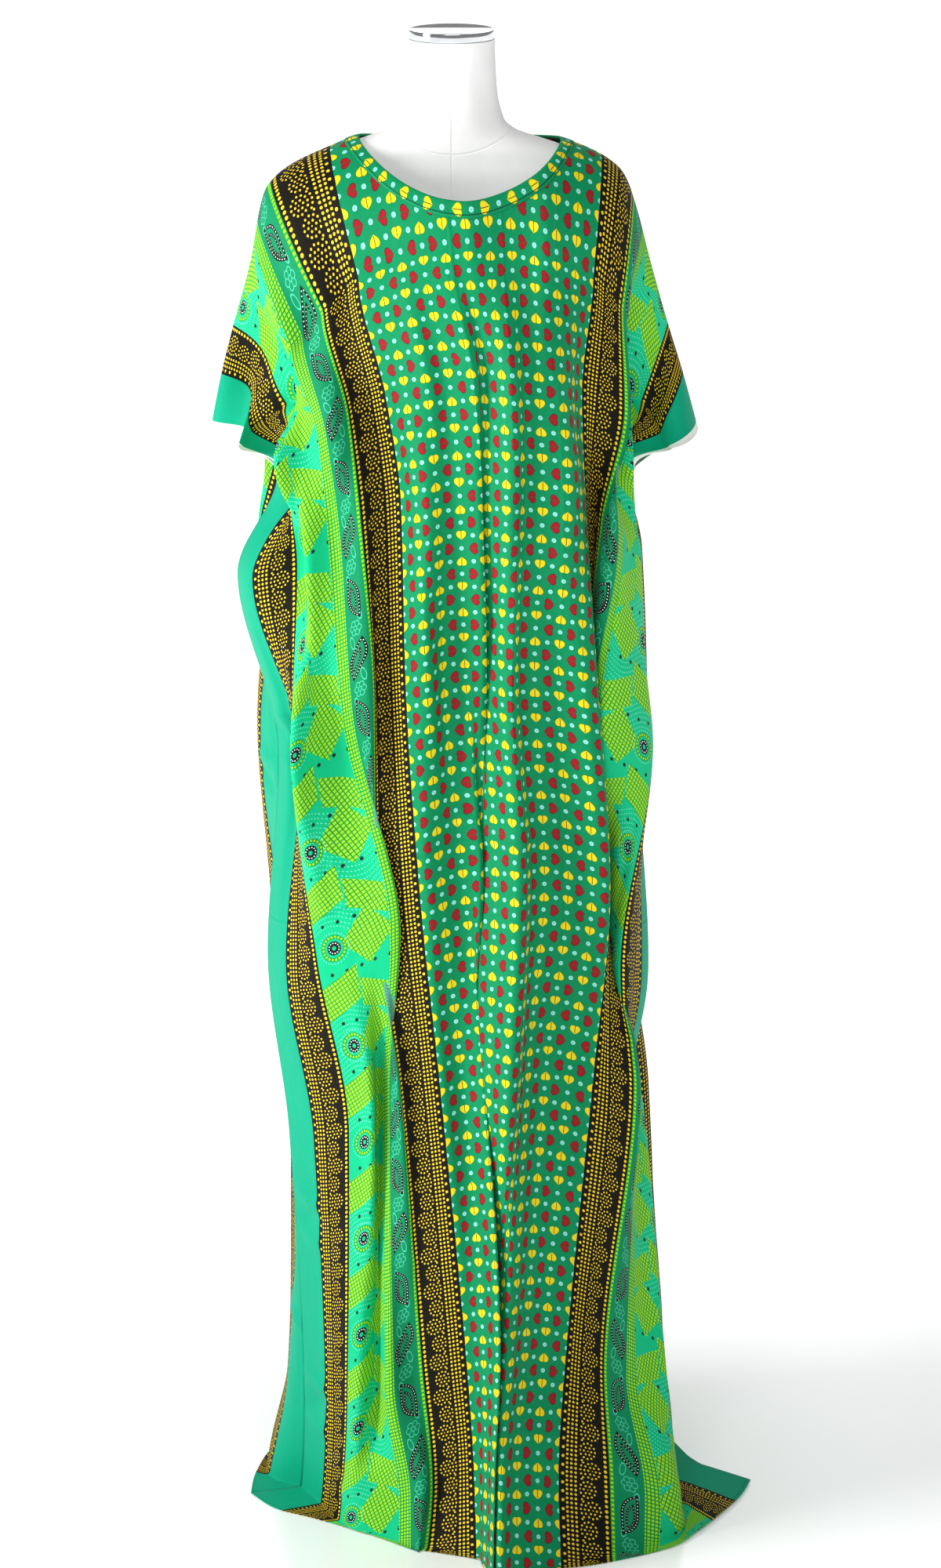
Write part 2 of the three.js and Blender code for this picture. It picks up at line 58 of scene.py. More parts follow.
def mottle(tree, shader, colours, scale, stretch=(1, 1, 1), detail=4):
    """Uneven colour over the piece, from its own place in metres."""
    place = tree.nodes.new("ShaderNodeTexCoord")
    sizing = tree.nodes.new("ShaderNodeMapping")
    sizing.inputs["Scale"].default_value = stretch
    cloud = tree.nodes.new("ShaderNodeTexNoise")
    cloud.inputs["Scale"].default_value = scale
    cloud.inputs["Detail"].default_value = detail
    ramp = tree.nodes.new("ShaderNodeValToRGB")
    ramp.color_ramp.elements[0].position = 0.35
    ramp.color_ramp.elements[1].position = 0.65
    ramp.color_ramp.elements[0].color = colours[0]
    ramp.color_ramp.elements[1].color = colours[1]
    tree.links.new(place.outputs["Object"], sizing.inputs["Vector"])
    tree.links.new(sizing.outputs["Vector"], cloud.inputs["Vector"])
    tree.links.new(cloud.outputs["Fac"], ramp.inputs["Fac"])
    tree.links.new(ramp.outputs["Color"], shader.inputs["Base Color"])
    return cloud


def raise_grain(tree, shader, height, distance, strength=1.0):
    grain = tree.nodes.new("ShaderNodeBump")
    grain.inputs["Distance"].default_value = distance
    grain.inputs["Strength"].default_value = strength
    tree.links.new(height, grain.inputs["Height"])
    tree.links.new(grain.outputs["Normal"], shader.inputs["Normal"])


plate_paint, plate_tree, plate_shader = new_finish("base_plate_paint", ink(226, 226, 224), 0.38)
paint_cloud = mottle(plate_tree, plate_shader, (ink(220, 220, 218), ink(231, 231, 229)), 60)
raise_grain(plate_tree, plate_shader, paint_cloud.outputs["Fac"], 0.0002)
tube_steel, tube_tree, tube_shader = new_finish("tube_steel", ink(190, 192, 194), 0.3, 1.0)
tube_cloud = mottle(tube_tree, tube_shader, (ink(178, 180, 182), ink(202, 204, 206)), 160, (1, 1, 0.05))
raise_grain(tube_tree, tube_shader, tube_cloud.outputs["Fac"], 0.0001)
for node, finish in (("stand_base", plate_paint), ("stand_pole", tube_steel)):
    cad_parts[node].data.materials.clear()
    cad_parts[node].data.materials.append(finish)


# The form's body is hard foam under a white jersey cover, cut in two halves that are sewn down the middle
# of the chest and the back, with a second seam round the base of the neck.
# Rows: height, half width, front, back, in millimetres.
BODY_SECTIONS = (
    (835, 158, 100, 110),
    (900, 164, 104, 118),
    (990, 156, 102, 108),
    (1110, 122, 88, 76),
    (1200, 136, 102, 80),
    (1300, 154, 120, 84),
    (1380, 168, 106, 86),
    (1450, 180, 84, 82),
    (1500, 184, 68, 72),
    (1535.4, 178, 56, 62),
    (1554.4, 164, 51, 57),
    (1566.4, 142, 48, 54),
    (1575.9, 118, 47, 52),
    (1584.4, 92, 46, 49),
    (1592, 70, 46, 48),
    (1604, 56, 46, 47),
    (1640, 48, 46, 46),
    (1690, 46, 45, 45),
)
BODY_ROUNDNESS = 2.3
BODY_STEPS = 96
BODY_BETWEEN = 4


def smooth_at(places, values, place, stiff=0.0):
    """Values between rows of a table, level at turning points. Each column has its own smooth line."""
    places = np.asarray(places, float)
    values = np.asarray(values, float)
    place = np.clip(place, places[0], places[-1])
    slopes = np.zeros_like(values)
    steps = np.diff(values, axis=0) / np.diff(places).reshape((-1,) + (1,) * (values.ndim - 1))
    before, after = steps[:-1], steps[1:]
    turning = before * after <= 0
    total = np.where(turning, 1.0, before + after)
    slopes[1:-1] = np.where(turning, 0.0, 2 * before * after / total)
    slopes[1] = slopes[1] * (1 - stiff)
    lower = np.clip(np.searchsorted(places, place, side="left") - 1, 0, len(places) - 2)
    span = places[lower + 1] - places[lower]
    part = (place - places[lower]) / span
    if values.ndim == 1:
        low, high, leave, arrive = values[lower], values[lower + 1], slopes[lower], slopes[lower + 1]
    else:
        column = np.broadcast_to(np.arange(values.shape[1]), place.shape)
        low, high = values[lower, column], values[lower + 1, column]
        leave, arrive = slopes[lower, column], slopes[lower + 1, column]
    rise = part * part * (3 - 2 * part)
    bend = part * (1 - part) ** 2 * leave + part * part * (part - 1) * arrive
    return low + (high - low) * rise + span * bend


def deselect_all():
    if bpy.context.object and bpy.context.object.mode != "OBJECT":
        bpy.ops.object.mode_set(mode="OBJECT")
    bpy.ops.object.select_all(action="DESELECT")


body_levels = [BODY_SECTIONS[0][0]]
for low, high in zip(BODY_SECTIONS[:-1], BODY_SECTIONS[1:]):
    body_levels += [low[0] + (high[0] - low[0]) * (step + 1) / BODY_BETWEEN for step in range(BODY_BETWEEN)]
body_table = np.array(BODY_SECTIONS, float)
body_half, body_front, body_back = (smooth_at(body_table[:, 0], body_table[:, column], np.array(body_levels))
                                    for column in (1, 2, 3))
deselect_all()
bpy.ops.mesh.primitive_circle_add(vertices=BODY_STEPS, radius=0.1, fill_type="NGON",
                                  location=(0, 0, body_levels[0] / 1000))
form_cover = bpy.context.object
form_cover.name = "form_cover"
bpy.ops.object.transform_apply(location=True, rotation=True, scale=True)
bpy.ops.object.mode_set(mode="EDIT")
bpy.ops.mesh.select_all(action="SELECT")
for low, high in zip(body_levels[:-1], body_levels[1:]):
    bpy.ops.mesh.extrude_region_move(TRANSFORM_OT_translate={"value": (0, 0, (high - low) / 1000)})
bpy.ops.object.mode_set(mode="OBJECT")
for vertex in form_cover.data.vertices:
    ring = int(np.argmin(np.abs(np.array(body_levels) / 1000 - vertex.co.z)))
    turn = math.atan2(vertex.co.y, vertex.co.x)
    round_x = math.copysign(abs(math.cos(turn)) ** (2 / BODY_ROUNDNESS), math.cos(turn))
    round_y = math.copysign(abs(math.sin(turn)) ** (2 / BODY_ROUNDNESS), math.sin(turn))
    depth = body_front[ring] if round_y < 0 else body_back[ring]
    vertex.co = (body_half[ring] * round_x / 1000, depth * round_y / 1000, body_levels[ring] / 1000)
bpy.ops.object.mode_set(mode="EDIT")
bpy.ops.mesh.select_all(action="SELECT")
bpy.ops.mesh.normals_make_consistent(inside=False)
bpy.ops.object.mode_set(mode="OBJECT")
bpy.ops.object.shade_smooth_by_angle(angle=math.radians(40))

cover_jersey, cover_tree, cover_shader = new_finish("cover_jersey", ink(240, 240, 239), 0.9)
mottle(cover_tree, cover_shader, (ink(236, 236, 235), ink(243, 243, 242)), 25)
cover_place = cover_tree.nodes.new("ShaderNodeTexCoord")
cover_split = cover_tree.nodes.new("ShaderNodeSeparateXYZ")
cover_tree.links.new(cover_place.outputs["Object"], cover_split.inputs["Vector"])


def reckon(tree, operation, *values, clamp=False):
    """One Math node. Values are numbers or other nodes' sockets."""
    node = tree.nodes.new("ShaderNodeMath")
    node.operation = operation
    node.use_clamp = clamp
    for index, value in enumerate(values):
        if isinstance(value, (int, float)):
            node.inputs[index].default_value = value
        else:
            tree.links.new(value, node.inputs[index])
    return node.outputs[0]


def groove(tree, distance, width):
    """1 on a line, falling to 0 at the width to its sides."""
    share = reckon(tree, "DIVIDE", reckon(tree, "ABSOLUTE", distance), width)
    return reckon(tree, "SUBTRACT", 1.0, share, clamp=True)


SEAM_HEIGHT = 1.573
SEAM_FALL = 5.5
cover_right, cover_height_up = cover_split.outputs["X"], cover_split.outputs["Z"]
middle_seam = groove(cover_tree, cover_right, 0.0012)
right_square = reckon(cover_tree, "MULTIPLY", cover_right, cover_right)
neck_fall = reckon(cover_tree, "MULTIPLY", right_square, SEAM_FALL)
unfallen = reckon(cover_tree, "SUBTRACT", cover_height_up, neck_fall)
neck_line = reckon(cover_tree, "SUBTRACT", unfallen, SEAM_HEIGHT)
neck_seam = groove(cover_tree, neck_line, 0.0015)
seams = reckon(cover_tree, "MAXIMUM", middle_seam, neck_seam)
jersey = cover_tree.nodes.new("ShaderNodeTexNoise")
jersey.inputs["Scale"].default_value = 900
cover_tree.links.new(cover_place.outputs["Object"], jersey.inputs["Vector"])
grain_share = reckon(cover_tree, "MULTIPLY", jersey.outputs["Fac"], 0.25)
cover_height = reckon(cover_tree, "SUBTRACT", grain_share, seams)
raise_grain(cover_tree, cover_shader, cover_height, 0.0006, 0.7)
form_cover.data.materials.append(cover_jersey)
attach(form_cover, "root")
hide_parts("form_body")


# The neck is closed by a turned metal disc, chromed all over, with a small rounded edge.
CAP_RADIUS = 0.0455
CAP_HEIGHTS = (1.6903, 1.7)
deselect_all()
bpy.ops.mesh.primitive_cylinder_add(vertices=128, radius=CAP_RADIUS, depth=CAP_HEIGHTS[1] - CAP_HEIGHTS[0],
                                    location=(0, 0, sum(CAP_HEIGHTS) / 2))
cap_disc = bpy.context.object
cap_disc.name = "cap_disc"
bpy.ops.object.transform_apply(location=True, rotation=True, scale=True)
bpy.ops.object.mode_set(mode="EDIT")
bpy.ops.mesh.select_all(action="DESELECT")
bpy.ops.object.mode_set(mode="OBJECT")
for edge in cap_disc.data.edges:
    heights = [cap_disc.data.vertices[index].co.z for index in edge.vertices]
    edge.select = abs(heights[0] - heights[1]) < 1e-6
bpy.ops.object.mode_set(mode="EDIT")
bpy.ops.mesh.bevel(offset=0.0007, segments=3, profile=0.5)
bpy.ops.object.mode_set(mode="OBJECT")
bpy.ops.object.shade_smooth_by_angle(angle=math.radians(35))
chrome, chrome_tree, chrome_shader = new_finish("cap_chrome", ink(222, 224, 226), 0.07, 1.0)
chrome_cloud = mottle(chrome_tree, chrome_shader, (ink(214, 216, 218), ink(228, 230, 232)), 40)
raise_grain(chrome_tree, chrome_shader, chrome_cloud.outputs["Fac"], 0.00004, 0.4)
cap_disc.data.materials.append(chrome)
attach(cap_disc, "root")
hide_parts("neck_cap")


# The print of the cotton, the same on the front and the back. Bands run the length of the cloth: hearts in
# the middle, a black border of gold dots, a leaf band between lime lines, a patched field, a second border,
# and a plain green strip up to the white selvage. Sizes are in millimetres on the flat cloth.
EMERALD = ink(2, 138, 86)
TURQUOISE = ink(6, 192, 132)
PLAIN_GREEN = ink(0, 164, 126)
LEAF_GREEN = ink(4, 136, 88)
MID_GREEN = ink(26, 150, 58)
DARK_GREEN = ink(34, 122, 44)
BLACK_BROWN = ink(20, 17, 9)
GOLD = ink(240, 204, 44)
LIME = ink(158, 224, 38)
YELLOW = ink(236, 214, 34)
RED = ink(160, 22, 36)
PALE_BLUE = ink(150, 226, 218)
WHITE = ink(246, 250, 246)
HEART_STEP_ACROSS = 13.45
HEART_STEP_DOWN = 15.0
HEARTS_EDGE = 148
INNER_BORDER_EDGE = 204
LIME_LINE_EDGE = 209
LEAF_BAND_EDGE = 241
LIME_ROWS_EDGE = 258
FIELD_EDGE = 350
OUTER_BORDER_EDGE = 406
PLAIN_EDGE = 447
HEM_STITCHES = 1643.5
PRESS_LINES_ACROSS = (-36, 27, 91)
PRESS_LINE_DOWN = 800
BINDING_PLACE = 60
SLEEVE_OPENING = 282


class Sum:
    """A number that the print works out from the place on the cloth, so that sizes are plain sums."""
    tree = None

    def __init__(self, socket):
        self.socket = socket

    def worked(self, operation, *others):
        values = [value.socket if isinstance(value, Sum) else float(value) for value in (self, *others)]
        return Sum(reckon(Sum.tree, operation, *values))

    def __add__(self, other):
        return self.worked("ADD", other)

    def __radd__(self, other):
        return self.worked("ADD", other)

    def __sub__(self, other):
        return self.worked("SUBTRACT", other)

    def __rsub__(self, other):
        return Sum(reckon(Sum.tree, "SUBTRACT", float(other), self.socket))

    def __mul__(self, other):
        return self.worked("MULTIPLY", other)

    def __rmul__(self, other):
        return self.worked("MULTIPLY", other)

    def __truediv__(self, other):
        return self.worked("DIVIDE", other)

    def __abs__(self):
        return self.worked("ABSOLUTE")

    def __lt__(self, other):
        return self.worked("LESS_THAN", other)

    def __gt__(self, other):
        return self.worked("GREATER_THAN", other)

    def __or__(self, other):
        return self.worked("MAXIMUM", other)

    def __and__(self, other):
        return self.worked("MULTIPLY", other)

    def nearest(self):
        return self.worked("ROUND")

    def repeated(self, step):
        """The way from the middle of the nearest of evenly spaced places."""
        return self - (self / step).nearest() * step

    def odd(self):
        return self.worked("FLOORED_MODULO", 2.0) > 0.5

    def root(self):
        return self.worked("SQRT")

    def sine(self):
        return self.worked("SINE")

    def within(self, low, high):
        return (self > low) & (self < high)

    def far(self, other):
        """How far a place is from the point where both numbers are 0."""
        return (self * self + other * other).root()

    def least(self, other):
        return self.worked("MINIMUM", other)

    def chosen(self, when_one, when_zero):
        return self * when_one + (1 - self) * when_zero


def painted(ground, colour, mask):
    """The ground with a colour printed where the mask is 1."""
    mix = Sum.tree.nodes.new("ShaderNodeMix")
    mix.data_type = "RGBA"
    Sum.tree.links.new(mask.socket, mix.inputs["Factor"])
    for value, place in ((ground, 6), (colour, 7)):
        if isinstance(value, list):
            mix.inputs[place].default_value = value
        else:
            Sum.tree.links.new(value, mix.inputs[place])
    return mix.outputs[2]


def print_hearts(ground, across, down):
    """Yellow hearts stand upright or upside down, red ones lie on their side, with pale dots between."""
    column = (across / HEART_STEP_ACROSS).nearest()
    row = (down / HEART_STEP_DOWN).nearest()
    aside = across - column * HEART_STEP_ACROSS
    below = down - row * HEART_STEP_DOWN
    heart = (column + row).odd()
    yellow = column.odd()
    turned = 1 - 2 * ((column + row + 1) / 2).odd()
    spread = abs(yellow.chosen(aside, below)) / yellow.chosen(5.7, 6.1)
    height = yellow.chosen(below, aside) * turned / yellow.chosen(4.6, 4.4) + 0.13
    lobes = height - 0.55 * spread.root()
    shape = spread * spread + lobes * lobes
    slit = (spread < 0.07) & (height > -0.7)
    inside = heart & (shape < 1.0)
    edge = heart & (shape < 1.26)
    ground = painted(ground, DARK_GREEN, edge & yellow)
    ground = painted(ground, YELLOW, inside & yellow)
    ground = painted(ground, ink(58, 34, 22), edge & (1 - yellow))
    ground = painted(ground, RED, inside & (1 - yellow))
    ground = painted(ground, ink(74, 72, 24), inside & slit)
    dot = (1 - heart) & (aside.far(below) < 2.5)
    ground = painted(ground, PALE_BLUE, dot)
    return painted(ground, ink(112, 196, 186), dot & (aside.far(below) < 0.8))


def print_border(ground, into, down):
    """Gold dots on black: a grid along one edge, scrolls in the middle, one row at the other edge."""
    step = 4.8
    row = down.repeated(step)
    sparse = (into - 4.6).far((down + step / 2).repeated(2 * step)) < 1.65
    grid = into.within(7, 21.3) & ((into - 9.3).repeated(step).far(row) < 1.4)
    single = (into - 51.8).far(down.repeated(5.5)) < 1.75
    ring_step = 4.3
    repeat = 43.0
    first = (into - 32).far(down.repeated(repeat))
    second = (into - 37).far((down + repeat / 2).repeated(repeat))
    nearer = second < first
    reach = first.least(second)
    side = nearer.chosen(into - 37, into - 32)
    along = nearer.chosen((down + repeat / 2).repeated(repeat), down.repeated(repeat))
    ring = (reach / ring_step).nearest()
    count = (ring * 6) | 1.0
    turn = along.worked("ARCTAN2", side) / (2 * math.pi) * count
    slip = (turn - turn.nearest()) / count * 2 * math.pi * reach
    spotted = (reach - ring * ring_step).far(slip) < 1.1
    gap = (ring > 2.5) & (side > -3.0)
    scrolls = into.within(23.2, 48.6) & spotted & (1 - gap) & (ring < 3.5)
    ground = painted(ground, BLACK_BROWN, into > -1)
    return painted(ground, GOLD, grid | sparse | single | scrolls)


def print_squares(ground, across, down, step, half, mask):
    """Lime squares on mid green."""
    square = (abs(across.repeated(step)) < half) & (abs(down.repeated(step)) < half)
    ground = painted(ground, MID_GREEN, mask)
    return painted(ground, LIME, mask & square)


def print_leaves(ground, out, down):
    """Black leaves with white dots on their rims, leaning by turns, and pale line flowers between."""
    repeat = 68.0
    number = (down / repeat).nearest()
    lean = 1 - 2 * number.odd()
    below = down - number * repeat
    along = below * 0.94 + out * 0.34 * lean
    aside = out * 0.94 - below * 0.34 * lean - 1.8 * (along * (math.pi / 25)).sine()
    rim = 10.4 * (1 - (along / 25) * (along / 25)) - abs(aside)
    core = 5.6 * (1 - ((along - 2) / 15) * ((along - 2) / 15)) - abs(aside - 1.0)
    flower_down = (down + repeat / 2).repeated(repeat)
    reach = out.far(flower_down)
    turn = flower_down.worked("ARCTAN2", out) / (2 * math.pi) * 6
    bend = (turn - turn.nearest()) * (2 * math.pi / 6)
    petal = (reach * bend.worked("COSINE") - 5.6).far(reach * bend.sine())
    stalk = 1 - 2 * (flower_down > 0)
    sprig = (out * stalk + 9.5 - 0.2 * abs(flower_down)).far(0.45 * (abs(flower_down) - 15.5))
    drawn = (abs(petal - 3.0) < 0.4) & (reach > 3.4) | (abs(reach - 2.4) < 0.4) | (abs(sprig - 3.1) < 0.35)
    ground = painted(ground, ink(80, 205, 170), drawn)
    ground = painted(ground, LEAF_GREEN, rim > 0)
    ground = painted(ground, ink(14, 22, 18), rim.within(0.0, 3.5) | core.within(0.0, 2.5))
    white = ((rim - 1.8).far(along.repeated(3.4)) < 0.6) | ((core - 1.2).far(along.repeated(3.0)) < 0.4)
    return painted(ground, WHITE, (rim > 0) & white)


def print_field(ground, out, down):
    """Patches of lime squares, rows of tiny pale dots, wheels of dots, and small dark stars."""
    waved = down + 9 * (out / 15).sine()
    fine = waved.repeated(5.6).far((out + 0.3 * down).repeated(3.3)) < 0.72
    ground = painted(ground, ink(112, 226, 200), fine & ((waved / 37).sine() > -0.35))
    lean = out * 0.94 + down * 0.34
    fall = down * 0.94 - out * 0.34
    repeat = 117.0
    patch_a = (abs(out + 20) / 32 + abs((down - 20).repeated(repeat)) / 34) < 1
    patch_b = (abs(out - 23) < 24) & (abs((down - 68 - 0.4 * out).repeated(repeat)) < 20)
    patch_c = (abs(out + 24) < 21) & (abs((down - 80 + 0.5 * out).repeated(repeat)) < 17)
    ground = print_squares(ground, lean, fall, 4.6, 1.65, patch_a | patch_b | patch_c)
    wheel_out = out - 22
    wheel_down = (down - 22).repeated(repeat)
    reach = wheel_out.far(wheel_down)
    turn = wheel_down.worked("ARCTAN2", wheel_out) / (2 * math.pi)
    rings = ((6.2, 12, 0.75, WHITE), (13.6, 20, 1.35, LIME), (18.4, 30, 0.8, ink(112, 226, 200)))
    for radius, count, size, colour in rings:
        slip = (turn * count - (turn * count).nearest()) / count * 2 * math.pi * radius
        ring = (reach - radius).far(slip) < size
        if colour is WHITE:
            ground = painted(ground, MID_GREEN, reach.within(11.4, 15.8))
            ground = painted(ground, ink(18, 26, 24), reach < 8.4)
            ground = painted(ground, TURQUOISE, reach < 2.6)
        ground = painted(ground, colour, ring)
    star_out = (out + 8).repeated(19.0)
    star_down = (down - 52).repeated(repeat / 2)
    petals = star_down.worked("ARCTAN2", star_out) * 3
    star = star_out.far(star_down) < 1.5 + 1.1 * abs(petals.sine())
    open_ground = (1 - patch_a) & (1 - patch_b) & (1 - patch_c)
    return painted(ground, ink(18, 40, 34), star & open_ground & (reach > 20))


def new_print(name, faded=0, binding=False):
    """The whole print as a finish. The inner face shows it paler, and the binding has its thread."""
    finish, tree, shader = new_finish(name, EMERALD, 0.62)
    Sum.tree = tree
    flat = tree.nodes.new("ShaderNodeUVMap")
    flat.uv_map = "flat_cloth"
    split = tree.nodes.new("ShaderNodeSeparateXYZ")
    tree.links.new(flat.outputs["UV"], split.inputs["Vector"])
    across = (Sum(split.outputs["X"]) - 0.5) * 1000
    down = (1 - Sum(split.outputs["Y"])) * 1700
    out = abs(across)
    colour = painted(EMERALD, TURQUOISE, out > LIME_LINE_EDGE)
    colour = painted(colour, PLAIN_GREEN, out > OUTER_BORDER_EDGE)
    hearts = print_hearts(EMERALD, across, down)
    leaves = print_leaves(LEAF_GREEN, out - (LIME_LINE_EDGE + LEAF_BAND_EDGE) / 2, down)
    field = print_field(TURQUOISE, out - (LIME_ROWS_EDGE + FIELD_EDGE) / 2, down)
    inner = out < 300
    into = inner.chosen(out - HEARTS_EDGE, OUTER_BORDER_EDGE - out)
    border = print_border(BLACK_BROWN, into, down)
    lime_line = print_squares(MID_GREEN, out - 206.5, down, 4.9, 1.45, out > 0)
    lime_rows = print_squares(MID_GREEN, out - 245.4, down, 4.25, 1.35, out > 0)
    white = (out > PLAIN_EDGE) & (down < SLEEVE_OPENING)
    bands = ((hearts, -1, HEARTS_EDGE),
             (leaves, LIME_LINE_EDGE, LEAF_BAND_EDGE),
             (field, LIME_ROWS_EDGE, FIELD_EDGE),
             (border, HEARTS_EDGE, INNER_BORDER_EDGE),
             (border, FIELD_EDGE, OUTER_BORDER_EDGE),
             (lime_line, INNER_BORDER_EDGE, LIME_LINE_EDGE),
             (lime_rows, LEAF_BAND_EDGE, LIME_ROWS_EDGE))
    for band, low, high in bands:
        colour = painted(colour, band, out.within(low, high))
    colour = painted(colour, WHITE, white)
    if binding:
        thread = out.within(BINDING_PLACE + 2.5, BINDING_PLACE + 3.5) & (down.repeated(3.0) < 1.1)
    else:
        thread = (abs(down - HEM_STITCHES) < 0.6) & (across.repeated(3.4) < 1.0)
    colour = painted(colour, ink(10, 52, 46), thread)
    cloud = tree.nodes.new("ShaderNodeTexNoise")
    cloud.inputs["Scale"].default_value = 14
    cloud.inputs["Detail"].default_value = 6
    tree.links.new(flat.outputs["UV"], cloud.inputs["Vector"])
    worn = tree.nodes.new("ShaderNodeMix")
    worn.data_type = "RGBA"
    worn.blend_type = "OVERLAY"
    worn.inputs["Factor"].default_value = 0.1
    tree.links.new(colour, worn.inputs[6])
    tree.links.new(cloud.outputs["Fac"], worn.inputs[7])
    colour = worn.outputs[2]
    if faded:
        pale = tree.nodes.new("ShaderNodeMix")
        pale.data_type = "RGBA"
        pale.inputs["Factor"].default_value = faded
        pale.inputs[7].default_value = ink(120, 200, 176)
        tree.links.new(colour, pale.inputs[6])
        colour = pale.outputs[2]
    tree.links.new(colour, shader.inputs["Base Color"])
    shader.inputs["Sheen Weight"].default_value = 0.03
    shader.inputs["Sheen Roughness"].default_value = 0.4
    shader.inputs["Specular IOR Level"].default_value = 0.12
    weave = (across * (math.pi / 0.55)).sine() * 0.5 + (down * (math.pi / 0.55)).sine() * 0.5
    rumple = tree.nodes.new("ShaderNodeTexNoise")
    rumple.inputs["Scale"].default_value = 42
    rumple.inputs["Detail"].default_value = 5
    tree.links.new(flat.outputs["UV"], rumple.inputs["Vector"])
    height = weave * 0.06 + Sum(rumple.outputs["Fac"]) * 1.6
    if not binding:
        wander = (down / 70).sine() * 3
        for press in PRESS_LINES_ACROSS:
            height = height + ((1 - abs(across - press - wander) / 3.2) | 0.0) * 0.9
        height = height + ((1 - abs(down - PRESS_LINE_DOWN - (across / 40).sine() * 2) / 3.6) | 0.0) * 1.3
    raise_grain(tree, shader, height.socket, 0.0009, 0.8)
    return finish


cotton_face = new_print("cotton_face")
cotton_reverse = new_print("cotton_reverse", faded=0.35)
cotton_binding = new_print("cotton_binding", binding=True)


# The dress is one length of this cotton folded over the shoulders, front and back each 924 by 1660 mm,
# with a round hole for the neck. It is sewn down both sides below the sleeve openings, and hangs in folds.
HALF_WIDTH = 462
HEARTS_HALF = 148
LENGTH = 1660
ARMHOLE = 280
CHEST_DOWN = 140
CLOTH = 0.7
NECK_MIDDLE = -9
NECK_HALF = 112
NECK_FRONT = 104
NECK_BACK = 62
NECK_LOW_HEIGHT = 1526
HANG = 0.9815
UNDERARM_HEIGHT = 1220
SLEEVE_TIP_HEIGHT = 1269
SIDE_DROP_POWER = 1.15
CUFF_SAG_POWER = {"front": 3, "back": 0.7}
FLOOR_LIFT = 0.9
OVERLAP_LIFT = 2.6
OVERLAP_START = 240
OVERLAP_REACH = 90
FLOOR_SOFTNESS = 7
NECK_FADE = 350
COLUMNS_SIDE = 68
COLUMNS_NECK = 44
ROWS = 240
EDGE_REACH = 40
CURVE_STEPS = 14

# Shoulder fold, a row for each place from one sleeve end to the other: across, right, height.
SHOULDER_FOLD = (
    (-462, -262, 1269),
    (-406, -250, 1328),
    (-350, -236, 1382),
    (-280, -217, 1450),
    (-215, -201, 1526),
    (-190, -180, 1550),
    (-148, -130, 1575),
    (-121, -101, 1586),
    (0, 17, 1604),
    (103, 118, 1583),
    (148, 160, 1566),
    (178, 184, 1546),
    (215, 197, 1513),
    (280, 214, 1450),
    (350, 233, 1384),
    (406, 250, 1330),
    (462, 267, 1269),
)

